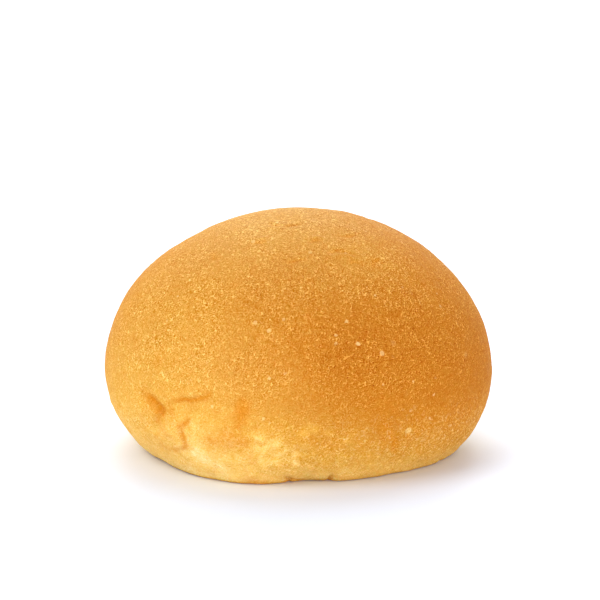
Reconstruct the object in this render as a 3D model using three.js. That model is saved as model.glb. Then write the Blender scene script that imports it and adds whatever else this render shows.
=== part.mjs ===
import * as THREE from "three";

// A soft, round, hand-shaped bread roll: one uncut piece, so one closed solid.
// A low dome over a rounded belly, widest a third of the way up, sitting on the
// flat spot that the baking tray gave it.  The dough is uneven: broad swells and
// hollows, pinched creases low on one side, and tucks where the folded dough
// meets the base.
// Millimetres, +Z up.  The base lies in z = 0 and the origin is under the middle
// of the roll's outline.  Azimuth 0 is +X, azimuth -90 is the roll's front (-Y).

// Main sizes
const HALF_WIDTH = 46.0; // widest level, from the middle of the roll
const WAIST_HEIGHT = 19.0; // height of the widest level above the base
const CROWN_RISE = 37.85; // top of the dome above the widest level
const BELLY_DROP = 31.9; // lower half-axis of the belly, cut off by the base
const SHOULDER_SLACK = 0.012; // how far the dome's shoulder is flatter than an ellipse
const BELLY_SLACK = 0.01; // the same for the belly
const WAIST_BLEND = 0.25; // share of the height over which belly turns into dome
const BASE_ROUNDING = 0.6; // rounding between belly and flat base

// Surface
const CROWN_RINGS = 33; // rings from the top to the widest level; ring k has 4k points
const BELLY_RINGS = 9; // rings from the widest level to the rounded rim
const RIM_RINGS = 4; // rings over the rounded rim
const FOOT_RADIUS = 14.0; // middle triangle of the flat base
const REACH = 44.0; // usual distance from the middle to the crust
const CRUST_COLOUR = 0xd9923f;
const CRUST_ROUGHNESS = 0.78;

// Swells and hollows of the dough: azimuth, elevation, spread (degrees), rise (mm)
const SWELLS = [
  [0, 0, 20, 0.15],
  [17, 54, 20, 0.1],
  [90, 78, 20, -0.1],
  [163, 54, 20, -0.45],
  [180, 0, 20, -0.45],
  [-12, -27, 18, 1.15],
  [-40, -27, 18, 0.2],
  [-68, -27, 18, -1.5],
  [-96, -27, 18, -0.3],
  [-124, -27, 18, 1.4],
  [-152, -27, 18, -0.4],
  [-176, -27, 18, -0.1],
  [-68, -30, 8, 1.05],
  [-86.5, -30, 6, -1.1],
  [-106, -30, 8, 1.05],
  [-128, -30, 8, -0.2],
  [-145, -30, 8, -1.0],
  [22, -26, 18, -1.3],
  [52, -27, 18, 0.8],
  [84, -27, 18, -1.5],
  [114, -26, 18, 1.1],
  [146, -27, 18, -0.7],
  [62, -30, 7, -1.1],
  [97, -30, 8, 0.9],
  [131, -30, 7, -1.0],
  [58, 14, 26, 0.4],
  [104, 22, 27, -0.7],
  [72, 46, 24, -0.35],
  [139, 8, 22, 0.4],
  [-117.5, -6.5, 7, 0.9],
  [-122.5, -1, 4, -0.5],
  [-129, -8, 5, 0.45],
  [-137, -4.5, 5, 0.4],
  [71, -7, 7, 0.7],
  [84, -4, 5, -0.4],
];

// Creases: depth (mm), half-width (mm), then azimuth and elevation along the crease
const CREASES = [
  [0.85, 1.9, [-140, 1.4], [-135, -0.6], [-131, -3.0], [-131.9, -4.8], [-134.2, -7.8]],
  [0.65, 1.7, [-130.5, -0.4], [-125.5, 0.9], [-119.4, 1.8], [-114.5, 4.6]],
  [0.2, 1.7, [-120.8, -3.5], [-124.1, -6.8], [-123.6, -12], [-127.6, -14.4], [-134, -16]],
  [0.75, 4.2, [-61.5, -5], [-57.5, -12.5], [-56, -19]],
  [0.6, 1.8, [62, 1.5], [68, 0.8], [74, -1.5], [77, -6]],
  [0.55, 1.7, [92, -6], [88, -10], [89, -15]],
  [0.6, 3.6, [128, -3], [132, -11], [131, -18]],
  [0.5, 3.8, [24, -6], [20, -14], [21, -20]],
];

// Tucks in the rim of the base: azimuth, depth (mm), half-width (mm)
const TUCKS = [
  [-93.2, 0.3, 1.1],
  [-77.8, 0.3, 1.1],
  [-28, 0.3, 1.3],
  [38, 0.4, 1.2],
  [67, 0.4, 1.2],
  [101, 0.3, 1.2],
  [158, 0.4, 1.3],
];
const TUCK_ELEVATION = -28; // middle of a tuck, degrees
const TUCK_SPREAD = 4; // how far it runs up the belly, degrees

const rad = THREE.MathUtils.degToRad;

function direction(azimuth, elevation) {
  const a = rad(azimuth);
  const e = rad(elevation);
  return new THREE.Vector3(
    Math.cos(e) * Math.cos(a),
    Math.cos(e) * Math.sin(a),
    Math.sin(e),
  );
}

const swells = SWELLS.map(([az, el, spread, rise]) => ({
  towards: direction(az, el),
  tightness: 1 / rad(spread) ** 2,
  rise,
}));
const creases = CREASES.map(([depth, halfWidth, ...path]) => ({
  depth,
  halfWidth,
  path: path.map(([az, el]) => direction(az, el)),
}));

// Distance in millimetres from direction d to a crease's path on the crust.
const segment = new THREE.Line3();
const nearest = new THREE.Vector3();
function distanceToPath(d, path) {
  let least = Infinity;
  for (let i = 1; i < path.length; i++) {
    segment.set(path[i - 1], path[i]);
    segment.closestPointToPoint(d, true, nearest);
    least = Math.min(least, nearest.distanceTo(d));
  }
  return least * REACH;
}

// The smaller of two distances, with the corner between them rounded.
function roundedMin(a, b, rounding) {
  const h = Math.max(rounding - Math.abs(a - b), 0) / rounding;
  return Math.min(a, b) - (h * h * rounding) / 4;
}

// Distance from the middle of the widest level to the dough's surface in
// direction d, as if no base cut it off.
function doughRadius(d) {
  const up = d.z * d.z;
  const t = THREE.MathUtils.smoothstep(d.z, -WAIST_BLEND, WAIST_BLEND);
  const axis2 = THREE.MathUtils.lerp(BELLY_DROP ** 2, CROWN_RISE ** 2, t);
  const slack = THREE.MathUtils.lerp(BELLY_SLACK, SHOULDER_SLACK, t);
  let r = 1 / Math.sqrt((1 - up) / HALF_WIDTH ** 2 + up / axis2);
  r *= 1 - slack * 4 * up * (1 - up);
  for (const s of swells)
    r += s.rise * Math.exp((d.dot(s.towards) - 1) * s.tightness);
  for (const c of creases)
    r -= c.depth * Math.exp(-((distanceToPath(d, c.path) / c.halfWidth) ** 2));
  const azimuth = THREE.MathUtils.radToDeg(Math.atan2(d.y, d.x));
  const elevation = THREE.MathUtils.radToDeg(Math.asin(d.z));
  for (const [at, depth, halfWidth] of TUCKS) {
    const turn = THREE.MathUtils.euclideanModulo(azimuth - at + 180, 360) - 180;
    const across = rad(turn) * REACH * Math.cos(rad(elevation));
    const along = (elevation - TUCK_ELEVATION) / TUCK_SPREAD;
    r -= depth * Math.exp(-((across / halfWidth) ** 2) - along ** 2);
  }
  return r;
}

const baseRadius = (d) => (d.z < -1e-3 ? WAIST_HEIGHT / -d.z : 1e9);

// The crust's point at an azimuth and elevation.
function crustPoint(azimuth, elevation) {
  const d = direction(azimuth, elevation);
  const r = roundedMin(doughRadius(d), baseRadius(d), BASE_ROUNDING);
  const p = d.multiplyScalar(r);
  p.z += WAIST_HEIGHT;
  return p;
}

// The elevation at which the base lies a given distance beyond the dough.
function elevationWhere(azimuth, beyond) {
  let high = -3;
  let low = -60;
  for (let i = 0; i < 40; i++) {
    const middle = (high + low) / 2;
    const d = direction(azimuth, middle);
    if (baseRadius(d) - doughRadius(d) > beyond) high = middle;
    else low = middle;
  }
  return (high + low) / 2;
}

// Rings of points from the top of the dome down to the rim of the flat base.
function crustRings() {
  const rings = [[crustPoint(0, 90)]];
  for (let k = 1; k <= CROWN_RINGS; k++) {
    const elevation = 90 * (1 - k / CROWN_RINGS);
    const ring = [];
    for (let j = 0; j < 4 * k; j++) ring.push(crustPoint((j * 90) / k - 45, elevation));
    rings.push(ring);
  }
  const around = 4 * CROWN_RINGS;
  const rims = [];
  for (let j = 0; j < around; j++) {
    const azimuth = (j * 360) / around - 45;
    rims.push([
      azimuth,
      elevationWhere(azimuth, BASE_ROUNDING),
      elevationWhere(azimuth, -BASE_ROUNDING),
    ]);
  }
  for (let m = 1; m <= BELLY_RINGS; m++)
    rings.push(rims.map(([a, start]) => crustPoint(a, (start * m) / BELLY_RINGS)));
  for (let m = 1; m <= RIM_RINGS; m++)
    rings.push(
      rims.map(([a, start, end]) => crustPoint(a, start + ((end - start) * m) / RIM_RINGS)),
    );
  for (const p of rings.at(-1)) p.z = 0;
  return rings;
}

function rollGeometry() {
  const rings = crustRings();
  const points = rings.flat();
  const starts = [0];
  for (const ring of rings) starts.push(starts.at(-1) + ring.length);
  const at = (ring, j) => starts[ring] + (j % rings[ring].length);
  const triangles = [];
  for (let k = 1; k <= CROWN_RINGS; k++)
    for (let quarter = 0; quarter < 4; quarter++)
      for (let i = 0; i < k; i++) {
        const upper = quarter * (k - 1) + i;
        const lower = quarter * k + i;
        triangles.push([at(k - 1, upper), at(k, lower), at(k, lower + 1)]);
        if (i < k - 1)
          triangles.push([at(k - 1, upper), at(k, lower + 1), at(k - 1, upper + 1)]);
      }
  for (let k = CROWN_RINGS + 1; k < rings.length; k++)
    for (let j = 0; j < rings[k].length; j++) {
      const a = at(k - 1, j);
      const b = at(k, j);
      const c = at(k, j + 1);
      const e = at(k - 1, j + 1);
      // the shorter diagonal follows the surface better
      if (points[a].distanceTo(points[c]) < points[b].distanceTo(points[e]))
        triangles.push([a, b, c], [a, c, e]);
      else triangles.push([a, b, e], [b, c, e]);
    }
  // the flat base, around one triangle in its middle
  const rim = rings.at(-1).map((_, j) => at(rings.length - 1, j));
  const foot = [0, 1, 2].map((k) => {
    const a = rad(-90 + 120 * k);
    points.push(
      new THREE.Vector3(FOOT_RADIUS * Math.cos(a), FOOT_RADIUS * Math.sin(a), 0),
    );
    return points.length - 1;
  });
  const flat = (i) => new THREE.Vector2(points[i].x, points[i].y);
  const order = [...rim, ...foot];
  const down = ([a, b, c]) => {
    const ab = flat(b).sub(flat(a));
    const ac = flat(c).sub(flat(a));
    return ab.cross(ac) > 0 ? [a, c, b] : [a, b, c];
  };
  for (const f of THREE.ShapeUtils.triangulateShape(rim.map(flat), [foot.map(flat)]))
    triangles.push(down(f.map((i) => order[i])));
  triangles.push(down(foot));

  const geometry = new THREE.BufferGeometry()
    .setAttribute(
      "position",
      new THREE.Float32BufferAttribute(points.flatMap((p) => [...p]), 3),
    )
    .setIndex(triangles.flat());
  // the origin goes under the middle of the outline
  geometry.computeBoundingBox();
  const middle = geometry.boundingBox.getCenter(new THREE.Vector3());
  geometry.translate(-middle.x, -middle.y, 0);
  geometry.computeVertexNormals();
  return geometry;
}

const crust = new THREE.MeshStandardMaterial({
  name: "crust",
  color: CRUST_COLOUR,
  roughness: CRUST_ROUGHNESS,
  metalness: 0,
});

const roll = new THREE.Group();
const bread = new THREE.Mesh(rollGeometry(), crust);
bread.name = "bread_roll";
roll.add(bread);

export default roll;
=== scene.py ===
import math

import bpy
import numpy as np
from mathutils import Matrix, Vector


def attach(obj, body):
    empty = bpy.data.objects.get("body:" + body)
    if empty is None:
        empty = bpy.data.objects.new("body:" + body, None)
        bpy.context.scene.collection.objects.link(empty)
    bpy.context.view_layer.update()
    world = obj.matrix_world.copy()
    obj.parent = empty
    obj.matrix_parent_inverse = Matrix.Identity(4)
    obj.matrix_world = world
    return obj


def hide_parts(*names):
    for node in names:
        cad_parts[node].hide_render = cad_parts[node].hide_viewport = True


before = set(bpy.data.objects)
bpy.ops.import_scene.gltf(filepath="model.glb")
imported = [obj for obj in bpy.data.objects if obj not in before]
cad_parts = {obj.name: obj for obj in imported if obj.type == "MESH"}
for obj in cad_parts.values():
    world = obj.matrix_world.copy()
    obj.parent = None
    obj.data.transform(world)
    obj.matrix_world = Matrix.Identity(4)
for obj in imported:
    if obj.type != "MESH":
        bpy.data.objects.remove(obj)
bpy.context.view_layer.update()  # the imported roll: one node, bread_roll, on the body "root"

# The looks of a soft round bread roll: its crust as one fine mesh over the same
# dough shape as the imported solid, with the creases, blisters and flaked skin of
# the baked surface, on a plain pale floor in soft studio light.
# Everything is worked out from the named sizes and lists below.

# ---------------------------------------------------------------- dough shape
# The same sizes, in millimetres and degrees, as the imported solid's.
HALF_WIDTH = 46.0
WAIST_HEIGHT = 19.0
CROWN_RISE = 37.85
BELLY_DROP = 31.9
SHOULDER_SLACK = 0.012
BELLY_SLACK = 0.01
WAIST_BLEND = 0.25
BASE_ROUNDING = 0.6
REACH = 44.0
# azimuth, elevation, spread, rise
SWELLS = [
    (0, 0, 20, 0.15), (17, 54, 20, 0.1), (90, 78, 20, -0.1), (163, 54, 20, -0.45),
    (180, 0, 20, -0.45), (-12, -27, 18, 1.15), (-40, -27, 18, 0.2),
    (-68, -27, 18, -1.5), (-96, -27, 18, -0.3), (-124, -27, 18, 1.4),
    (-152, -27, 18, -0.4), (-176, -27, 18, -0.1), (-68, -30, 8, 1.05),
    (-86.5, -30, 6, -1.1), (-106, -30, 8, 1.05), (-128, -30, 8, -0.2),
    (-145, -30, 8, -1.0), (22, -26, 18, -1.3), (52, -27, 18, 0.8),
    (84, -27, 18, -1.5), (114, -26, 18, 1.1), (146, -27, 18, -0.7),
    (62, -30, 7, -1.1), (97, -30, 8, 0.9), (131, -30, 7, -1.0),
    (58, 14, 26, 0.4), (104, 22, 27, -0.7), (72, 46, 24, -0.35), (139, 8, 22, 0.4),
    (-117.5, -6.5, 7, 0.9), (-122.5, -1, 4, -0.5), (-129, -8, 5, 0.45),
    (-137, -4.5, 5, 0.4), (71, -7, 7, 0.7), (84, -4, 5, -0.4),
]
# depth, half-width, then the points of the crease
CREASES = [
    (0.85, 1.9, (-140, 1.4), (-135, -0.6), (-131, -3.0), (-131.9, -4.8), (-134.2, -7.8)),
    (0.65, 1.7, (-130.5, -0.4), (-125.5, 0.9), (-119.4, 1.8), (-114.5, 4.6)),
    (0.2, 1.7, (-120.8, -3.5), (-124.1, -6.8), (-123.6, -12), (-127.6, -14.4), (-134, -16)),
    (0.75, 4.2, (-61.5, -5), (-57.5, -12.5), (-56, -19)),
    (0.6, 1.8, (62, 1.5), (68, 0.8), (74, -1.5), (77, -6)),
    (0.55, 1.7, (92, -6), (88, -10), (89, -15)),
    (0.6, 3.6, (128, -3), (132, -11), (131, -18)),
    (0.5, 3.8, (24, -6), (20, -14), (21, -20)),
]
# azimuth, depth, half-width
TUCKS = [
    (-93.2, 0.3, 1.1), (-77.8, 0.3, 1.1), (-28, 0.3, 1.3), (38, 0.4, 1.2),
    (67, 0.4, 1.2), (101, 0.3, 1.2), (158, 0.4, 1.3),
]
TUCK_ELEVATION = -28
TUCK_SPREAD = 4

# ---------------------------------------------------------------- fine surface
MESH_STEPS = 128  # steps along a patch: 196,608 triangles in all
RIM_ELEVATION = -27.0  # about where the base's rim is seen from the middle
# The mesh is gathered where the folds are: azimuth, elevation, spread, share
GATHERED = [(-125, -6, 13, 0.45), (-57, -12, 8, 0.25), (72, -3, 11, 0.3)]
# Sharp folds inside the creases: depth, half-width, rise of the side on the
# left and on the right of the path and its spread (mm), how much painted shade the fold
# gets in the colour, and the share of the path over which it fades in and out. The
# painted shade is orange: the light held and bounced inside the fold, with some of the
# fold's own deeper colour
FOLDS = [
    (0.42, 0.75, 0.25, -0.05, 2.0, 1.2, 0.30, 0.10,
     (-139.8, 1.3), (-137.1, 0.0), (-134.7, -0.6), (-132.9, -1.8), (-130.9, -3.0), (-131.6, -4.5)),
    (0.12, 0.80, 0.05, 0.00, 1.6, 0.5, 0.02, 0.70,
     (-131.7, -4.4), (-133.2, -5.9), (-134.1, -8.0)),
    (0.34, 0.42, 0.24, -0.05, 1.6, 1.3, 0.25, 0.15,
     (-130.6, -0.6), (-126.0, 0.7), (-123.3, 1.5), (-121.5, 1.3), (-119.4, 1.8), (-117.9, 2.4),
     (-115.8, 3.2), (-114.1, 5.2)),
    (0.05, 0.50, 0.04, -0.01, 2.2, 1.0, 0.10, 0.35,
     (-120.3, -3.4), (-121.8, -4.3), (-123.6, -5.8), (-124.2, -7.5), (-123.6, -8.8), (-123.5, -10.3),
     (-123.6, -12.1), (-124.8, -13.2), (-127.8, -14.4), (-131.1, -15.7), (-134.5, -15.9)),
    (0.06, 0.42, 0.04, 0.0, 1.4, 0.9, 0.25, 0.3,
     (-126.0, -7.4), (-124.0, -6.0), (-122.4, -4.8), (-120.3, -3.4)),
    (0.15, 0.60, 0.0, 0.1, 1.8, 0.5, 0.4, 0.4,
     (-64.0, -6.0), (-61.5, -8.6), (-59.0, -11.4), (-57.4, -14.2), (-56.4, -18.5)),
    # the two tucks of the front rim, and the slit of the folded edge between them
    (0.45, 0.50, 0.16, 0.00, 1.4, 1.2, 0.0, 0.9,
     (-92.8, -29.5), (-93.0, -26.6), (-93.6, -24.4), (-94.3, -21.8)),
    (0.40, 0.50, 0.00, 0.16, 1.4, 1.1, 0.0, 0.9,
     (-77.9, -29.5), (-77.7, -26.6), (-77.1, -24.8), (-74.6, -23.0)),
    (0.30, 0.50, 0.0, 0.0, 1.0, 0.9, 0.05, 0.5,
     (-92.6, -25.8), (-91.0, -27.0), (-88.6, -28.2), (-86.5, -29.2)),
    # the roll's other sides
    (0.55, 0.80, 0.30, 0.00, 2.4, 0.8, 0.3, 0.3,
     (62, 1.5), (65, 1.3), (68, 0.8), (71.5, -0.6), (74, -1.5), (76, -4), (77, -6)),
    (0.40, 0.75, 0.10, 0.35, 2.6, 0.6, 0.3, 0.4,
     (92, -6), (89.5, -8.5), (88, -10), (87.6, -12.5), (89, -15)),
    (0.25, 0.7, 0.1, 0.0, 1.6, 0.45, 0.3, 0.5,
     (126, -8), (130, -10.5), (134.5, -11)),
    (0.65, 0.65, 0.1, 0.1, 1.6, 0.75, 0.0, 0.8,
     (67, -30), (67.2, -26.5), (65.8, -23.5), (66.2, -20.5)),
    (0.60, 0.65, 0.1, 0.1, 1.6, 0.7, 0.0, 0.8,
     (38, -30), (37.7, -26.0), (39.2, -22.5)),
    (0.55, 0.65, 0.1, 0.1, 1.6, 0.7, 0.0, 0.8,
     (158, -30), (158.3, -26.0), (156.6, -22.5)),
    (0.50, 0.65, 0.1, 0.1, 1.6, 0.7, 0.0, 0.8,
     (101, -30), (100.7, -26.5), (102.2, -23.5)),
    (0.40, 0.65, 0.1, 0.1, 1.6, 0.6, 0.0, 0.8,
     (-28, -30), (-27.7, -26.5), (-29.2, -24)),
]
# Fine wrinkles of the crown's skin: height, half-width, points
WRINKLES = [
    (-0.26, 0.7, (-124, 72.6), (-118, 71.4), (-111, 70.0), (-104, 70.4)),
    (0.24, 0.8, (-119, 68.6), (-108, 68.4), (-100, 69.6)),
    (-0.26, 0.7, (-106, 68.2), (-98, 70.6), (-90, 71.6), (-80, 72.2)),
    (-0.28, 0.7, (-122, 58.6), (-117, 58.0), (-110, 58.4)),
    (0.26, 0.8, (-118, 60.4), (-110, 60.8)),
    (-0.27, 0.7, (-83, 59.4), (-78, 59.9), (-73, 60.4)),
    (0.26, 0.8, (-80, 61.4), (-71, 61.2)),
    (-0.24, 0.6, (-74, 52.4), (-68, 53.8), (-62, 52.6), (-57, 49.6)),
    (0.22, 0.7, (-72, 50.4), (-66, 51.2), (-60, 49.4)),
    (-0.22, 0.6, (-66, 46.8), (-61, 47.4), (-57, 45.6)),
    (-0.20, 0.6, (-96, 47.8), (-91, 49.6), (-85, 50.2)),
    (-0.20, 0.7, (-139, 50), (-134, 47.5), (-129, 48)),
    (-0.22, 0.7, (-55, 44), (-51, 46.5), (-46, 46)),
    (-0.20, 0.6, (-60, 62), (-50, 60.5), (-42, 61)),
    (0.20, 0.8, (60, 57), (68, 60), (79, 61)),
    (-0.24, 0.7, (58, 60), (68, 63), (80, 64)),
    (-0.22, 0.7, (150, 52), (160, 54), (171, 52)),
    (-0.20, 0.7, (108, 42), (115, 45), (123, 44)),
    (-0.22, 0.7, (20, 62), (30, 60), (41, 61)),
]
WRINKLE_DEPTH = 1.5  # times the heights above
WRINKLE_SHADE = 0.42  # how much painted shade a sunken wrinkle gets in the colour
# Named blisters: azimuth, elevation, radius, height (mm), paleness
BLISTERS = [
    (-54.9, -8.6, 1.0, 0.22, 0.85), (-48.3, -12.9, 0.8, 0.12, 0.5),
    (-71.1, 18.8, 0.62, 0.16, 0.9), (-63.9, 15.4, 0.7, 0.12, 0.6),
    (-73.5, 25.7, 0.5, 0.12, 0.7), (-98.7, 23.2, 0.6, 0.14, 0.75),
    (-103.5, 25.5, 0.65, 0.14, 0.65), (-94.2, 26.9, 0.5, 0.12, 0.6),
    (-77.7, 21.7, 0.45, 0.1, 0.6), (-90.3, -17.4, 0.7, 0.14, 0.6),
    (-119.5, 58.7, 0.7, 0.16, 0.8), (-82.5, 53.4, 0.6, 0.12, 0.6),
    (-73.4, 51.9, 1.5, 0.12, 0.1), (57, 21, 0.7, 0.15, 0.8),
    (81, 12, 0.6, 0.14, 0.7), (104, 31, 0.6, 0.12, 0.7), (130, 9, 0.9, 0.16, 0.8),
    (33, 2, 0.7, 0.14, 0.7), (12, 24, 0.6, 0.12, 0.6), (168, 12, 0.8, 0.14, 0.7),
]
SMALL_BLISTERS = 220  # scattered, each 0.35 to 0.75 mm in radius
SEED = 26031

# ---------------------------------------------------------------- baking
# How far the crust is baked, 0 pale dough to 1 brown: by elevation, then broad
# and small patches that differ (azimuth, elevation, spread, change). Just above the
# base's rim the table dips to paler tone: partly the real pale dough, partly painted
# light, the floor's bounce and the glow through the crust painted in as paler colour
BAKE_AND_RIM_GLOW_BY_ELEVATION = [
    (-40, 0.44), (-29, 0.24), (-24, 0.28), (-18, 0.37), (-11, 0.46), (-5, 0.56),
    (3, 0.67), (14, 0.72), (35, 0.70), (60, 0.67), (90, 0.65),
]
BAKE_PATCHES = [
    (-56, 13, 24, 0.14), (-150, 4, 26, -0.14), (-121, -13, 11, -0.08),
    (-142, -17, 10, 0.05), (-97, -12, 6, -0.08), (-46, -17, 20, -0.01),
    # the patch at (-85, -25) is painted light: it pales the recess between the front rim's two tucks
    (-62, -7, 7, 0.08), (-122, 34, 24, -0.03), (-20, 4, 18, 0.12), (-85, -25, 3, -0.10),
    (-33, -12, 14, 0.09), (-68, 17, 14, 0.07), (-126, -24, 9, -0.07), (-48, -18, 15, 0.06),
    (-12, -8, 16, 0.07), (-30, -22, 12, 0.02), (-142, 4, 16, -0.03), (-54, 47, 12, -0.08), (-10, 50, 16, 0.07),
    (-116, 4, 16, -0.04), (-61, 12, 6, -0.03), (-102, 39, 8, 0.05), (-80, 20, 10, 0.03), (-88, -15, 12, 0.05),
    (-110, -3, 8, -0.04), (-85, -3, 10, -0.03),
    # the other sides
    (40, 16, 26, 0.12), (128, 10, 24, -0.14), (60, -13, 12, -0.26),
    (92, -14, 10, -0.20), (150, -12, 14, 0.10), (10, -10, 12, -0.12),
    (96, 34, 22, 0.10), (176, 22, 20, 0.06),
]
# Broad patches of paler skin (azimuth, elevation, spread, paleness): painted sheen, the crust's soft gloss on
# the crown and the lit left side painted in as paler, creamier skin
PALE_SHEEN_PATCHES = [(-130, 72, 24, 0.24), (-118, 8, 18, 0.11), (-142, 6, 16, 0.08), (-95, 82, 20, 0.12), (120, 76, 20, 0.30), (60, 66, 26, 0.14), (110, 12, 20, 0.10)]
RIM_PALENESS = 0.24  # paler, creamier just above the base
# How strongly the skin is flaked: by elevation, then patches that differ
FLAKED_BY_ELEVATION = [
    (-30, 0.85), (-16, 0.80), (-8, 0.62), (-2, 0.54), (3, 0.62), (9, 0.86), (20, 0.95),
    (35, 1.0), (60, 1.15), (72, 1.5),
]
FLAKED_PATCHES = [(-135, 2, 16, 0.12), (-66, 20, 14, 0.46), (-35, 10, 16, 0.24), (-20, -12, 14, 0.15)]
# Small orange smudges (azimuth, elevation, spread, strength) and pale spots
# where the skin stretched (azimuth, elevation, spread, change of baking)
SMUDGES = [
    # beside the folds at the front's left
    (-139.8, 1.4, 0.9, 0.5), (-136.2, -0.8, 1.3, 0.6), (-132.2, -2.9, 1.2, 1.0),
    (-131.5, -3.9, 0.8, 0.8), (-132.8, -6.6, 1.0, 0.5), (-134, -4.5, 3.6, 0.15),
    (-128.0, -1.6, 1.0, 0.35), (-127.2, -2.6, 0.8, 0.5), (-131.1, -9.3, 1.3, 0.3),
    (-128.7, -10.9, 1.2, 0.3), (-124.4, -9.8, 1.0, 0.45), (-124.6, -13.2, 0.9, 0.5),
    (-128.7, -15.4, 1.0, 0.45), (-133.6, -15.2, 1.8, 0.5), (-141, -17, 7, 0.10), (-112.2, -1.4, 0.5, 0.6),
    # in the middle
    (-105.6, 2.6, 1.3, 0.6), (-105.3, -0.3, 1.4, 1.0), (-105.9, -3.2, 1.4, 1.0),
    (-108.0, -7.1, 1.6, 0.5), (-106.2, -9.5, 1.5, 0.55), (-110.7, -6.5, 1.5, 0.35),
    (-109.8, -10.2, 1.6, 0.4), (-113.6, -10.0, 2.0, 0.6), (-104.1, -10.8, 1.2, 0.4),
    (-105.4, -25.5, 1.8, 0.7), (-101, -26.5, 1.6, 0.6), (-93.6, -24.8, 0.9, 0.6),
    (-85.5, -8.7, 1.3, 0.35), (-81.6, -9.8, 1.4, 0.4), (-77.4, -11.7, 1.4, 0.35),
    (-84.5, -21.4, 0.7, 0.5),
    # at the front's right
    (-63.9, -0.8, 2.5, 0.2), (-63.3, -7.0, 1.6, 0.35), (-60.0, -10.2, 1.2, 0.45),
    (-57.6, -13.5, 0.9, 0.6), (-56.1, -17.0, 0.9, 0.5), (-54.6, -10.6, 0.8, 0.3),
    # the other sides
    (66, -5, 1.8, 0.6), (70, -11, 1.4, 0.6), (88, -11, 1.4, 0.6), (127, -9, 1.8, 0.6),
    (20, -12, 1.8, 0.5), (150, -6, 2.0, 0.45),
]
PALE_SPOTS = [
    (-119.4, -4.7, 1.2, -0.10), (-119.4, -7.6, 1.3, -0.04), (-121.3, -10.8, 1.3, -0.03),
    (-120.3, -14.3, 1.5, -0.27), (-118.9, -15.8, 1.2, -0.20), (-116.4, -17.9, 1.3, -0.16),
    (-113.7, -19.1, 1.3, -0.18), (-100.8, -7.7, 1.0, -0.22), (-99.6, -11.8, 1.1, -0.18),
    (-98.1, -9.8, 0.9, -0.15), (-95.4, -9.3, 1.0, -0.22), (-93.9, -12.6, 0.8, -0.12),
    (-96.6, -16.4, 1.2, -0.14), (-100.5, -16.8, 1.0, -0.12), (-95.4, -13.7, 0.8, -0.16),
    (-90.3, -13.8, 0.9, -0.22), (-90.6, -17.4, 0.9, -0.26), (-85.5, -20.0, 1.0, -0.15),
    (-87.6, -6.3, 1.0, -0.20), (-84.9, -4.5, 0.9, -0.20), (-80.7, -6.2, 1.0, -0.16),
    (-75.6, -9.3, 0.9, -0.14), (-81.0, -16.6, 1.0, -0.10), (-75.6, -15.4, 1.0, -0.10),
    (-54.9, -8.6, 1.3, -0.12),
    # the other sides
    (62, -8, 1.4, -0.22), (58, -15, 1.3, -0.22), (95, -8, 1.3, -0.22), (88, -17, 1.2, -0.20),
    (134, -14, 1.4, -0.20), (12, -9, 1.4, -0.20),
]
MORE_SMUDGES = 34  # scattered low down over the other sides
MORE_PALE_SPOTS = 44

rng = np.random.default_rng(SEED)


def direction(azimuth, elevation):
    a, e = math.radians(azimuth), math.radians(elevation)
    return np.array(
        [math.cos(e) * math.cos(a), math.cos(e) * math.sin(a), math.sin(e)]
    )


def smooth(x, low, high):
    t = np.clip((x - low) / (high - low), 0, 1)
    return t * t * (3 - 2 * t)


def lobe(d, azimuth, elevation, spread):
    """1 towards a direction, fading over spread degrees."""
    k = 1 / math.radians(spread) ** 2
    return np.exp((d @ direction(azimuth, elevation) - 1) * k)


def path_distance(d, path):
    """Signed distance (mm, left of the path positive) from directions d to a
    path on the crust, and the share of the path passed there."""
    points = [direction(*p) for p in path]
    best = np.full(len(d), np.inf)
    sign = np.ones(len(d))
    share = np.zeros(len(d))
    for i, (a, b) in enumerate(zip(points, points[1:])):
        ab = b - a
        t = np.clip(((d - a) @ ab) / (ab @ ab), 0, 1)
        s = np.linalg.norm(d - a - t[:, None] * ab, axis=1)
        near = s < best
        best[near] = s[near]
        sign[near] = np.where(d[near] @ np.cross(a, b) > 0, 1.0, -1.0)
        share[near] = (i + t[near]) / (len(points) - 1)
    return sign * best * REACH, share


def rounded_min(a, b, rounding):
    h = np.maximum(rounding - np.abs(a - b), 0) / rounding
    return np.minimum(a, b) - h * h * rounding / 4


def body_radius(d):
    """Distance from the middle of the widest level to the belly and dome."""
    up = d[:, 2] ** 2
    t = smooth(d[:, 2], -WAIST_BLEND, WAIST_BLEND)
    axis2 = BELLY_DROP**2 * (1 - t) + CROWN_RISE**2 * t
    r = 1 / np.sqrt((1 - up) / HALF_WIDTH**2 + up / axis2)
    slack = BELLY_SLACK * (1 - t) + SHOULDER_SLACK * t
    r *= 1 - slack * 4 * up * (1 - up)
    for az, el, spread, rise in SWELLS:
        r += rise * lobe(d, az, el, spread)
    for depth, half_width, *path in CREASES:
        r -= depth * np.exp(-((path_distance(d, path)[0] / half_width) ** 2))
    azimuth = np.degrees(np.arctan2(d[:, 1], d[:, 0]))
    elevation = np.degrees(np.arcsin(np.clip(d[:, 2], -1, 1)))
    for at, depth, half_width in TUCKS:
        turn = (azimuth - at + 180) % 360 - 180
        across = np.radians(turn) * REACH * np.cos(np.radians(elevation))
        along = (elevation - TUCK_ELEVATION) / TUCK_SPREAD
        r -= depth * np.exp(-((across / half_width) ** 2) - along**2)
    return r


def on_base(d, r):
    """The body's radius cut off by the flat base, with a rounded rim."""
    down = np.maximum(-d[:, 2], 1e-3)
    return rounded_min(r, np.where(d[:, 2] < -1e-3, WAIST_HEIGHT / down, 1e9), BASE_ROUNDING)


def place(d, r):
    p = d * r[:, None]
    p[:, 2] += WAIST_HEIGHT
    return p


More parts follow.
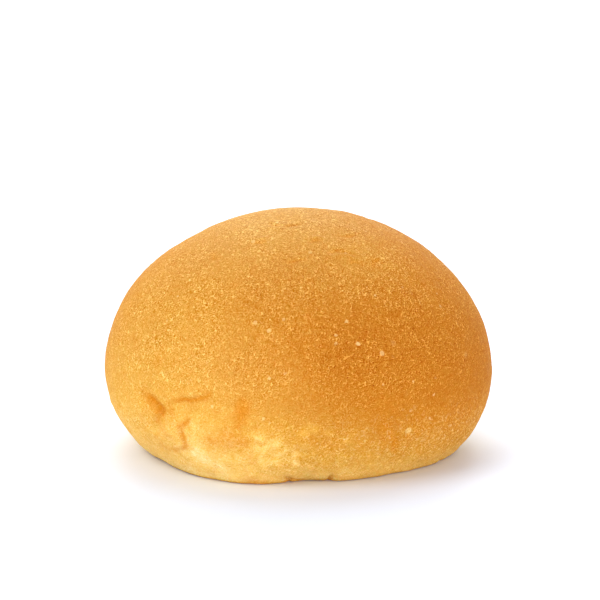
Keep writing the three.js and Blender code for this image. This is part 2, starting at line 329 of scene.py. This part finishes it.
def patch_grids(steps):
    """The six square patches of directions: side, axis and (steps+1)^2 points."""
    t = np.tan((2 * np.arange(steps + 1) / steps - 1) * math.pi / 4)
    u, v = np.meshgrid(t, t, indexing="ij")
    for side in (1, -1):
        for axis in range(3):
            d = np.empty(u.shape + (3,))
            d[..., axis], d[..., (axis + 1) % 3], d[..., (axis + 2) % 3] = side, u, v
            yield side, axis, d / np.linalg.norm(d, axis=-1, keepdims=True)


def lattice(p, seed):
    """Gradient noise, about -0.7 to 0.7, whose cells are 1 across."""
    cell = np.floor(p).astype(np.int64)
    f = p - cell
    w = f * f * f * (f * (f * 6 - 15) + 10)
    total = np.zeros(len(p))
    for corner in range(8):
        o = np.array([(corner >> k) & 1 for k in range(3)])
        c = (cell + o).astype(np.uint64)
        h = (c[:, 0] * np.uint64(73856093)) ^ (c[:, 1] * np.uint64(19349663))
        h ^= (c[:, 2] * np.uint64(83492791)) ^ np.uint64(seed * 2654435761 % 2**32)
        h &= np.uint64(0xFFFFFFFF)
        h = ((h ^ (h >> np.uint64(15))) * np.uint64(0x2C1B3C6D)) & np.uint64(0xFFFFFFFF)
        h = ((h ^ (h >> np.uint64(12))) * np.uint64(0x297A2D39)) & np.uint64(0xFFFFFFFF)
        h ^= h >> np.uint64(15)
        z = ((h & np.uint64(0xFFFF)).astype(float) / 65535) * 2 - 1
        a = (h >> np.uint64(16)).astype(float) / 65536 * 2 * math.pi
        s = np.sqrt(1 - z * z)
        g = np.stack([s * np.cos(a), s * np.sin(a), z], 1)
        weight = np.prod(np.where(o == 1, w, 1 - w), axis=1)
        total += weight * np.einsum("ij,ij->i", g, f - o)
    return total


def grain(p, size, seed, octaves=1):
    """Noise of bumps about size mm across, roughly -1 to 1."""
    total, amplitude = np.zeros(len(p)), 1.0
    for k in range(octaves):
        total += amplitude * lattice(p * (2**k / size), seed + 17 * k)
        amplitude *= 0.5
    return total * 1.5


def crust_surface(d):
    """Places and colour masks of the crust in directions d."""
    r = body_radius(d)
    p = place(d, r)
    elevation = np.degrees(np.arcsin(np.clip(d[:, 2], -1, 1)))
    skirt = smooth(elevation, 2, -12)  # the pale, stretched dough low down
    # folds, and the painted shade inside them
    fold_shade = np.zeros(len(d))
    for depth, width, left, right, spread, painted_shade, fade_in, fade_out, *path in FOLDS:
        s, share = path_distance(d, path)
        here = np.ones(len(d))
        if fade_in:
            here *= smooth(share, -0.001, fade_in)
        if fade_out:
            here *= smooth(1 - share, -0.001, fade_out)
        groove = np.exp(-((s / width) ** 2)) * here
        r -= depth * groove
        side = np.where(s > 0, left, right) * np.abs(s) / spread
        r += side * np.exp(1 - np.abs(s) / spread) * here
        fold_shade = np.maximum(fold_shade, painted_shade * np.exp(-((s / (1.1 * width)) ** 2)) * here)
    # wrinkles of the crown, with painted shade along the sunken ones
    for height, width, *path in WRINKLES:
        s, share = path_distance(d, path)
        here = np.sin(np.pi * np.clip(share, 0, 1)) ** 0.7
        wander = 0.35 * grain(p, 2.4, 71)
        line = np.exp(-(((s + wander) / width) ** 2)) * here
        r += WRINKLE_DEPTH * height * line
        if height < 0:
            fold_shade = np.maximum(fold_shade, WRINKLE_SHADE * line)
    # blisters
    pale = np.zeros(len(d))
    marks = list(BLISTERS)
    while len(marks) < len(BLISTERS) + SMALL_BLISTERS:
        z = rng.uniform(-0.45, 1.0)
        az = rng.uniform(-180, 180)
        size = rng.uniform(0.35, 0.75)
        marks.append(
            (az, math.degrees(math.asin(z)), size, size * rng.uniform(0.10, 0.2), rng.uniform(0.0, 0.25))
        )
    for number, (az, el, size, height, paleness) in enumerate(marks):
        s = np.linalg.norm(d - direction(az, el), axis=1) * REACH
        near = s < 2.5 * size
        stretch = 1 + 0.25 * grain(p[near], 1.2, 5)
        dome = np.clip(1 - (s[near] * stretch / size) ** 2, 0, 1)
        r[near] += height * dome
        if number >= len(BLISTERS):  # the named ones are drawn in the material
            pale[near] = np.maximum(pale[near], paleness * smooth(dome, 0.0, 0.45))
    # unevenness of the skin, from broad to fine
    r += 0.20 * grain(p, 13.0, 11, 2)
    r += 0.10 * skirt * grain(p, 7.0, 19)
    r += (0.07 + 0.10 * skirt) * grain(p, 4.2, 23, 2)
    r += 0.045 * grain(p, 1.9, 37, 2)
    # small pits of the low, pale dough
    pits = smooth(grain(p, 2.2, 53, 2), 0.25, 0.8)
    r -= 0.16 * skirt * pits
    total = on_base(d, r)
    q = place(d, total)
    # the base is flat but for shallow pores and creases of its skin
    flat = smooth(q[:, 2], 0.6, 0.0)
    lift = 0.05 + 0.10 * np.clip(grain(q, 3.0, 91, 2), 0, 1) + 0.05 * np.clip(grain(q, 1.4, 97), 0, 1)
    q[:, 2] = np.maximum(q[:, 2], 0) + flat * lift * smooth(np.hypot(q[:, 0], q[:, 1]), 32, 20)
    # baking
    # painted light: the table's dip just above the rim pales the crust where floor bounce and glow through the
    # crust would fall
    bake = np.interp(elevation, *zip(*BAKE_AND_RIM_GLOW_BY_ELEVATION))
    for az, el, spread, change in BAKE_PATCHES:
        bake += change * lobe(d, az, el, spread)
    wander = d + 0.018 * np.stack([grain(p, 2.6, 61 + k, 2) for k in range(3)], 1)
    wander /= np.linalg.norm(wander, axis=1, keepdims=True)
    scattered = [
        (rng.uniform(-6, 190), rng.uniform(-22, -3), rng.uniform(0.9, 1.7), rng.uniform(0.4, 1.0))
        for _ in range(MORE_SMUDGES + MORE_PALE_SPOTS)
    ]
    spots = [(az, el, spread, -0.24 * s) for az, el, spread, s in scattered[:MORE_PALE_SPOTS]]
    smudges = [(az, el, spread, 0.55 * s) for az, el, spread, s in scattered[MORE_PALE_SPOTS:]]
    for az, el, spread, change in PALE_SPOTS + spots:
        bake += change * lobe(wander, az, el, spread)
    bake += 0.035 * grain(p, 16.0, 41, 2) + (0.015 + 0.032 * skirt) * grain(p, 4.5, 43, 2)
    # painted sheen: these paler patches stand in for the crust's gloss
    for az, el, spread, paleness in PALE_SHEEN_PATCHES:
        pale = np.maximum(pale, paleness * lobe(d, az, el, spread))
    pale = np.maximum(pale, RIM_PALENESS * smooth(elevation, -16, -25))
    # the folds' and wrinkles' painted shade, as orange, with the real orange smudges added
    smudges_and_crease_shade = 1.3 * fold_shade
    for az, el, spread, strength in SMUDGES + smudges:
        smudges_and_crease_shade += strength * lobe(wander, az, el, spread)
    smudges_and_crease_shade = 1 - np.exp(-smudges_and_crease_shade)
    flaked = np.interp(elevation, *zip(*FLAKED_BY_ELEVATION))
    for az, el, spread, change in FLAKED_PATCHES:
        flaked += change * lobe(d, az, el, spread)
    # the base: dry and evenly browned by the tray
    under = smooth(q[:, 2], 0.9, 0.05)
    bake += under * (0.66 + 0.10 * grain(q, 7.0, 47, 2) - bake)
    return q, {"bake": bake, "smudges_and_crease_shade": smudges_and_crease_shade, "pale": pale, "under": under, "flaked": flaked, "skirt": skirt}


# ---------------------------------------------------------------- build the mesh
def gather(d):
    """Directions moved closer to the folds, so that the mesh is finer there."""
    for azimuth, elevation, spread, share in GATHERED:
        middle = direction(azimuth, elevation)
        angle = np.degrees(np.arccos(np.clip(d @ middle, -1, 1)))
        pull = share * np.exp(-((angle / spread) ** 2))
        # step along the great circle towards the middle
        flat = middle - (d @ middle)[:, None] * d
        flat /= np.maximum(np.linalg.norm(flat, axis=1, keepdims=True), 1e-12)
        step = np.radians(angle * pull)[:, None]
        d = d * np.cos(step) + flat * np.sin(step)
    return d


def crowd_rim(d):
    """Directions near the base's rim moved closer to it, so that the mesh
    follows the rim."""
    elevation = np.degrees(np.arcsin(np.clip(d[:, 2], -1, 1)))
    near = np.abs(elevation - RIM_ELEVATION) < 16
    azimuth = np.arctan2(d[near, 1], d[near, 0])
    rim = np.full(near.sum(), RIM_ELEVATION)
    for _ in range(3):
        e = np.radians(rim)
        at = np.stack([np.cos(e) * np.cos(azimuth), np.cos(e) * np.sin(azimuth), np.sin(e)], 1)
        rim = -np.degrees(np.arcsin(WAIST_HEIGHT / body_radius(at)))
    off = elevation[near] - rim
    e = np.radians(rim + off * (1 - 0.75 * np.exp(-((off / 4) ** 2))))
    moved = d.copy()
    moved[near] = np.stack([np.cos(e) * np.cos(azimuth), np.cos(e) * np.sin(azimuth), np.sin(e)], 1)
    return moved


def outline_middle():
    """The middle of the plain dough's outline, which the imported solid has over
    its origin."""
    points = []
    for _, _, grid in patch_grids(64):
        d = grid.reshape(-1, 3)
        points.append(place(d, on_base(d, body_radius(d))))
    points = np.concatenate(points)
    return (points.min(0) + points.max(0)) / 2


# where each patch lies in the unit square of the map: left, bottom, width, height
MAP_CELLS = {
    (1, 2): (0.0, 0.5, 0.36, 0.5),
    (-1, 1): (0.36, 0.5, 0.36, 0.5),
    (-1, 2): (0.72, 0.5, 0.28, 0.5),
    (1, 0): (0.0, 0.0, 1 / 3, 0.5),
    (1, 1): (1 / 3, 0.0, 1 / 3, 0.5),
    (-1, 0): (2 / 3, 0.0, 1 / 3, 0.5),
}
MAP_MARGIN = 0.004


def build_crust():
    n = MESH_STEPS + 1
    directions, quads, maps = [], [], []
    i, j = np.meshgrid(np.arange(n - 1), np.arange(n - 1), indexing="ij")
    i, j = i.ravel(), j.ravel()
    for side, axis, grid in patch_grids(MESH_STEPS):
        start = sum(len(x) for x in directions)
        directions.append(grid.reshape(-1, 3))
        corners = [(i, j), (i + 1, j), (i + 1, j + 1), (i, j + 1)]
        if side < 0:
            corners.reverse()
        quads.append(start + np.stack([a * n + b for a, b in corners], 1))
        x, y, w, h = MAP_CELLS[(side, axis)]
        x, y, w, h = x + MAP_MARGIN, y + MAP_MARGIN, w - 2 * MAP_MARGIN, h - 2 * MAP_MARGIN
        maps.append(
            np.stack([np.stack([x + w * a / (n - 1), y + h * b / (n - 1)], 1) for a, b in corners], 1)
        )
    directions = np.concatenate(directions)
    quads, maps = np.concatenate(quads), np.concatenate(maps)
    # points on shared edges are the same point
    keys = np.round(directions * 1e6).astype(np.int64)
    _, first, number = np.unique(keys, axis=0, return_index=True, return_inverse=True)
    quads = number.ravel()[quads]
    points, masks = crust_surface(crowd_rim(gather(directions[first])))
    middle = outline_middle()
    points[:, :2] -= middle[:2]
    mesh = bpy.data.meshes.new("crust")
    mesh.from_pydata((points * 1e-3).tolist(), [], quads.tolist())
    mesh.polygons.foreach_set("use_smooth", np.ones(len(quads), bool))
    layer = mesh.uv_layers.new(name="OFBake")
    layer.data.foreach_set("uv", maps.astype(np.float32).ravel())
    for name, values in masks.items():
        attribute = mesh.attributes.new(name, "FLOAT", "POINT")
        attribute.data.foreach_set("value", values.astype(np.float32))
    mesh.update()
    crust = bpy.data.objects.new("crust", mesh)
    bpy.context.scene.collection.objects.link(crust)
    return crust, middle, points


crust, middle, crust_points = build_crust()


def on_crust(azimuth, elevation):
    """The point of the finished crust (mm) in a direction from the middle of
    the dough's widest level."""
    centre = np.array([-middle[0], -middle[1], WAIST_HEIGHT])
    away = crust_points - centre
    radius = np.linalg.norm(away, axis=1)
    d = direction(azimuth, elevation)
    near = np.argsort(-(away @ d) / radius)[:4]
    return (centre + d * radius[near].mean()).tolist()


# ---------------------------------------------------------------- materials
# Colour of the crust by how far it is baked (linear)
BAKE_COLOURS = [
    (0.00, (0.780, 0.565, 0.215)),
    (0.20, (0.765, 0.470, 0.116)),
    (0.40, (0.620, 0.316, 0.045)),
    (0.60, (0.518, 0.226, 0.026)),
    (0.80, (0.450, 0.160, 0.012)),
    (1.00, (0.385, 0.116, 0.006)),
]
SMUDGE_AND_CREASE_SHADE_COLOUR = (0.535, 0.172, 0.003)  # painted shade of the folds and sunken wrinkles, and the smudges
CREAM = (0.78, 0.57, 0.23)  # dry flakes, blister tops and the painted sheen
MARK_TINT = (0.16, 0.32, 1.10)  # how much a full mark lightens red, green, blue
HUE_TINT = (0.0, 0.35, 0.8)  # the same of the uneven yellow


class Graph:
    """Adds nodes to a material and joins them; patterns are in millimetres."""

    def __init__(self, material):
        material.use_nodes = True
        self.tree = material.node_tree
        self.shader = self.tree.nodes["Principled BSDF"]

    def put(self, socket, value):
        if isinstance(value, bpy.types.NodeSocket):
            self.tree.links.new(value, socket)
        else:
            socket.default_value = value

    def node(self, kind, settings=(), inputs=()):
        node = self.tree.nodes.new(kind)
        for name, value in dict(settings).items():
            setattr(node, name, value)
        for name, value in dict(inputs).items():
            self.put(node.inputs[name], value)
        return node

    def math(self, operation, *values, clamp=False):
        node = self.node("ShaderNodeMath", {"operation": operation, "use_clamp": clamp})
        for socket, value in zip(node.inputs, values):
            self.put(socket, value)
        return node.outputs[0]

    def vector(self, operation, *values):
        node = self.node("ShaderNodeVectorMath", {"operation": operation})
        for socket, value in zip(node.inputs, values):
            self.put(socket, value)
        return node.outputs[0]

    def total(self, *values):
        result = values[0]
        for value in values[1:]:
            result = self.math("ADD", result, value)
        return result

    def times(self, *values):
        result = values[0]
        for value in values[1:]:
            result = self.math("MULTIPLY", result, value)
        return result

    def ease(self, value, low, high, out_low=0.0, out_high=1.0):
        node = self.node(
            "ShaderNodeMapRange",
            {"interpolation_type": "SMOOTHSTEP"},
            {"Value": value, "From Min": low, "From Max": high, "To Min": out_low, "To Max": out_high},
        )
        return node.outputs[0]

    def noise(self, place, size, detail=0.0, shift=0.0, roughness=0.5, colour=False):
        moved = self.vector("ADD", place, (shift, shift * 0.7, -shift * 1.3))
        node = self.node(
            "ShaderNodeTexNoise",
            {},
            {"Vector": moved, "Scale": 1 / size, "Detail": detail, "Roughness": roughness},
        )
        return node.outputs[1 if colour else 0]

    def wander(self, place, size, amount, shift):
        """Places moved about at random, by up to about amount mm."""
        move = self.vector("SUBTRACT", self.noise(place, size, 1.0, shift, colour=True), (0.5, 0.5, 0.5))
        scaled = self.node("ShaderNodeVectorMath", {"operation": "SCALE"}, {"Vector": move, "Scale": 2 * amount})
        return self.vector("ADD", place, scaled.outputs[0])

    def strokes(self, place, size, width, shift):
        """Curling lines, where a noise passes through its middle value."""
        off = self.math("ABSOLUTE", self.math("SUBTRACT", self.noise(place, size, 0.6, shift), 0.5))
        return self.ease(off, width * 0.35, width, 1.0, 0.0)

    def dots(self, place, size, radius, share, shift):
        """Round marks, one in some of the cells; radius in cells."""
        moved = self.vector("ADD", place, (shift, -shift, shift * 0.6))
        cells = self.node(
            "ShaderNodeTexVoronoi",
            {"feature": "F1"},
            {"Vector": moved, "Scale": 1 / size, "Randomness": 1.0},
        )
        pick = self.node("ShaderNodeSeparateColor", {}, {"Color": cells.outputs["Color"]})
        reach = self.ease(pick.outputs[0], 1 - share, 1.0, 0.0, radius)
        inside = self.math("DIVIDE", cells.outputs["Distance"], self.math("MAXIMUM", reach, 1e-4))
        return self.ease(inside, 0.7, 1.1, 1.0, 0.0)

    def mask(self, name):
        return self.node("ShaderNodeAttribute", {"attribute_name": name}).outputs["Fac"]

    def colours(self, value, stops):
        ramp = self.node("ShaderNodeValToRGB", {}, {"Fac": value})
        points = ramp.color_ramp.elements
        while len(points) < len(stops):
            points.new(0.5)
        for point, (at, colour) in zip(points, stops):
            point.position = at
        for point, (at, colour) in zip(points, stops):
            point.color = (*colour, 1)
        return ramp.outputs[0]

    def blend(self, share, first, second):
        node = self.node("ShaderNodeMix", {"data_type": "RGBA"})
        self.put(node.inputs[0], share)
        for socket, value in ((node.inputs[6], first), (node.inputs[7], second)):
            self.put(socket, value if isinstance(value, bpy.types.NodeSocket) else (*value, 1))
        return node.outputs[2]


def crust_material():
    material = bpy.data.materials.new("crust")
    g = Graph(material)
    place = g.node("ShaderNodeTexCoord").outputs["Object"]
    mm = g.node("ShaderNodeVectorMath", {"operation": "SCALE"}, {"Vector": place, "Scale": 1000.0}).outputs[0]
    # turned, so that no pattern's cells lie along the roll's axes
    turned = g.node("ShaderNodeVectorRotate", {"rotation_type": "EULER_XYZ"}, {"Vector": mm})
    turned.inputs["Rotation"].default_value = (0.7, 0.45, 1.1)
    straight, mm = mm, turned.outputs[0]
    names = ("bake", "smudges_and_crease_shade", "pale", "under", "flaked", "skirt")
    bake, smudges_and_crease_shade, pale, under, flaked, skirt = (g.mask(n) for n in names)

    # flaked skin: short curling strokes, dots, flakes and pinholes, and painted shadows just below the strokes
    bent = g.wander(mm, 0.8, 0.14, 3.0)
    broken = g.ease(g.noise(mm, 0.8, 1.0, 21.0), 0.47, 0.57)
    strokes_a = g.times(g.strokes(bent, 0.72, 0.08, 5.0), broken)
    strokes_b = g.times(g.strokes(bent, 0.46, 0.09, 9.0), g.math("SUBTRACT", 1.0, broken))
    strokes = g.math("MAXIMUM", strokes_a, g.times(strokes_b, 0.5))
    # painted shadow: a dark copy of the strokes, moved a little down, stands for the shade under each flake's
    # edge
    below = g.vector("ADD", bent, (0.10, -0.12, 0.17))
    painted_flake_shadows = g.times(g.strokes(below, 0.72, 0.08, 5.0), g.math("SUBTRACT", 1.0, strokes_a))
    dots_a = g.dots(g.wander(mm, 0.4, 0.06, 31.0), 0.58, 0.40, 0.60, 2.0)
    dots_b = g.dots(g.wander(mm, 0.3, 0.05, 51.0), 0.42, 0.40, 0.50, 4.0)
    dots = g.math("MAXIMUM", dots_a, g.times(dots_b, 0.7))
    flakes = g.dots(g.wander(mm, 0.5, 0.30, 37.0), 2.3, 0.20, 0.26, 7.0)
    flake_tone = g.ease(g.noise(mm, 2.0, 0.0, 41.0), 0.35, 0.65, 0.12, 0.70)
    pinholes = g.dots(mm, 0.60, 0.30, 0.50, 13.0)
    grain = g.math("SUBTRACT", g.noise(mm, 0.24, 1.0, 17.0, 0.6), 0.5)
    hue = g.math("SUBTRACT", g.noise(mm, 1.0, 2.0, 61.0, 0.6), 0.5)
    mottle = g.math("SUBTRACT", g.noise(mm, 1.8, 3.0, 27.0, 0.6), 0.5)
    liveliness = g.ease(g.noise(mm, 7.0, 2.0, 33.0), 0.36, 0.64, 0.80, 1.20)
    strength = g.times(liveliness, g.ease(bake, 0.15, 0.6, 0.45, 1.0), g.ease(under, 0.0, 1.0, 1.0, 0.5))
    strength = g.times(strength, flaked)

    marks = g.times(
        g.total(
            g.times(strokes, 1.70),
            g.times(dots, 1.40),
            g.times(painted_flake_shadows, -0.80),
            g.times(pinholes, -1.00),
            g.times(grain, 3.2),
            -0.10,
        ),
        strength,
    )
    patchy = g.times(mottle, g.ease(bake, 0.15, 0.65, 0.34, 0.11))
    tone = g.math("MAXIMUM", g.total(bake, patchy, g.times(marks, -0.04)), 0.0, clamp=True)
    colour = g.colours(tone, BAKE_COLOURS)
    # torn and stretched skin low down: crisp pale and orange patches
    torn = g.wander(mm, 1.2, 0.35, 81.0)
    torn_pale = g.ease(g.noise(torn, 2.6, 3.0, 83.0, 0.6), 0.53, 0.60)
    torn_warm = g.ease(g.noise(torn, 3.4, 3.0, 89.0, 0.6), 0.55, 0.63)
    smudges_and_crease_shade = g.math("MAXIMUM", smudges_and_crease_shade, g.times(torn_warm, skirt, g.ease(under, 0.0, 0.5, 0.22, 0.0)))
    # orange of the smudges, and painted shade in the folds and wrinkles
    colour = g.blend(smudges_and_crease_shade, colour, SMUDGE_AND_CREASE_SHADE_COLOUR)
    lighter = g.node("ShaderNodeVectorMath", {"operation": "MULTIPLY_ADD"})
    g.put(lighter.inputs[0], marks)
    g.put(lighter.inputs[1], MARK_TINT)
    g.put(lighter.inputs[2], (1.0, 1.0, 1.0))
    yellower = g.node("ShaderNodeVectorMath", {"operation": "MULTIPLY_ADD"})
    g.put(yellower.inputs[0], hue)
    g.put(yellower.inputs[1], HUE_TINT)
    g.put(yellower.inputs[2], lighter.outputs[0])
    colour = g.vector("MULTIPLY", colour, yellower.outputs[0])
    # pale dry skin, and painted sheen from the pale mask, blended towards cream
    pale_skin_and_sheen = g.math("MAXIMUM", g.times(flakes, flake_tone, g.ease(under, 0.0, 0.5, 0.75, 0.2)), g.times(pale, 0.55))
    pale_skin_and_sheen = g.times(pale_skin_and_sheen, g.ease(smudges_and_crease_shade, 0.0, 1.0, 1.0, 0.1))
    pale_skin_and_sheen = g.math("MAXIMUM", pale_skin_and_sheen, g.times(torn_pale, skirt, g.ease(bake, 0.36, 0.60, 0.15, 0.04), g.ease(under, 0.0, 0.5, 1.0, 0.0)))
    # crisp flecks of torn skin low down
    flecks = g.times(g.strokes(bent, 1.0, 0.055, 45.0), g.ease(g.noise(mm, 1.3, 1.0, 47.0), 0.50, 0.58))
    pale_skin_and_sheen = g.math("MAXIMUM", pale_skin_and_sheen, g.times(flecks, skirt, g.ease(under, 0.0, 0.5, 0.38, 0.0)))
    # pale tops of the named blisters, the wide ones mottled
    ragged = g.wander(straight, 0.6, 0.26, 71.0)
    mottled = g.ease(g.noise(straight, 0.5, 1.0, 73.0), 0.40, 0.62, 0.35, 1.0)
    for azimuth, elevation, size, _, paleness in BLISTERS:
        off = g.node("ShaderNodeVectorMath", {"operation": "DISTANCE"})
        g.put(off.inputs[0], ragged)
        g.put(off.inputs[1], on_crust(azimuth, elevation))
        top = g.ease(off.outputs["Value"], 0.6 * size, 0.95 * size, 0.65 * paleness, 0.0)
        pale_skin_and_sheen = g.math("MAXIMUM", pale_skin_and_sheen, g.times(top, mottled) if size >= 0.8 else top)
    colour = g.blend(pale_skin_and_sheen, colour, CREAM)
    g.put(g.shader.inputs["Base Color"], colour)

    rough = g.total(0.70, g.times(mottle, 0.25), g.times(strokes, -0.05), g.times(pinholes, 0.08))
    g.put(g.shader.inputs["Roughness"], rough)
    g.put(g.shader.inputs["Specular IOR Level"], 0.04)
    g.put(g.shader.inputs["Subsurface Weight"], 0.25)
    g.put(g.shader.inputs["Subsurface Radius"], (1.0, 0.4, 0.12))
    g.put(g.shader.inputs["Subsurface Scale"], 0.003)

    height = g.total(
        g.times(strokes, 0.055),
        g.times(dots, 0.050),
        g.times(flakes, 0.060),
        g.times(pinholes, -0.05),
        g.times(grain, 0.12),
        g.times(mottle, 0.12),
    )
    bump = g.node("ShaderNodeBump", {}, {"Height": height, "Distance": 0.001, "Strength": 1.0})
    g.put(g.shader.inputs["Normal"], bump.outputs[0])
    return material


crust.data.materials.append(crust_material())

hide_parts("bread_roll")
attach(crust, "root")

# ---------------------------------------------------------------- floor, light
bpy.ops.mesh.primitive_plane_add(size=6.0, location=(0, 0, 0))
floor = bpy.context.object
floor.name = "floor"
floor_material = bpy.data.materials.new("floor")
floor_material.use_nodes = True
floor_shader = floor_material.node_tree.nodes["Principled BSDF"]
floor_shader.inputs["Base Color"].default_value = (0.81, 0.865, 0.96, 1)
floor_shader.inputs["Roughness"].default_value = 0.9
floor_shader.inputs["Specular IOR Level"].default_value = 0.0
floor.data.materials.append(floor_material)

world = bpy.data.worlds.new("studio")
world.use_nodes = True
world.node_tree.nodes["Background"].inputs["Color"].default_value = (1, 1, 1, 1)
world.node_tree.nodes["Background"].inputs["Strength"].default_value = 0.61
bpy.context.scene.world = world


def area_light(name, place, aim, size, watts, colour=(1, 1, 1)):
    light = bpy.data.lights.new(name, "AREA")
    light.shape = "SQUARE"
    light.size = size
    light.energy = watts
    light.color = colour
    o = bpy.data.objects.new(name, light)
    o.location = place
    o.rotation_euler = (Vector(aim) - Vector(place)).to_track_quat("-Z", "Y").to_euler()
    o.visible_camera = False
    bpy.context.scene.collection.objects.link(o)
    return o


for name, place_m, size, watts in [
    ("back", (0, 1.2, 0.7), 0.9, 10.2),
    ("back_left", (-0.6, 1.0, 0.6), 0.8, 2.7),
    ("back_right", (0.6, 1.0, 0.6), 0.8, 3.7),
    ("above", (0, 0.6, 1.1), 1.0, 5.75),
    ("left_high", (-0.75, -0.55, 0.95), 0.7, 6.5),
    ("left_low", (-1.18, -0.28, 0.065), 0.12, 5.4),
    ("front_low", (0.2, -1.3, 0.22), 0.3, 5.15),
    ("right_low", (0.85, -1.05, 0.08), 0.14, 8.6),
]:
    area_light(name, place_m, (0, 0, 0.03), size, watts)

# ---------------------------------------------------------------- camera
ELEVATION = math.radians(12)
DISTANCE = 0.700
FOCAL_PIXELS = 389 / 92 * 700  # for an image 600 pixels wide
AIM_HEIGHT = 0.03489
aim = Vector((-middle[0] * 1e-3 + 0.00078, -middle[1] * 1e-3, AIM_HEIGHT))
back = Vector((0, -math.cos(ELEVATION), math.sin(ELEVATION)))
camera_data = bpy.data.cameras.new("camera")
camera_data.sensor_fit = "HORIZONTAL"
camera_data.sensor_width = 36
camera_data.lens = FOCAL_PIXELS * 36 / 600
camera_data.clip_start, camera_data.clip_end = 0.01, 20
camera = bpy.data.objects.new("camera", camera_data)
camera.location = aim + back * DISTANCE
camera.rotation_euler = (-back).to_track_quat("-Z", "Y").to_euler()
bpy.context.scene.collection.objects.link(camera)
bpy.context.scene.camera = camera

scene = bpy.context.scene
scene.view_settings.view_transform = "Standard"
scene.view_settings.look = "None"
scene.view_settings.exposure = 0
scene.view_settings.gamma = 1
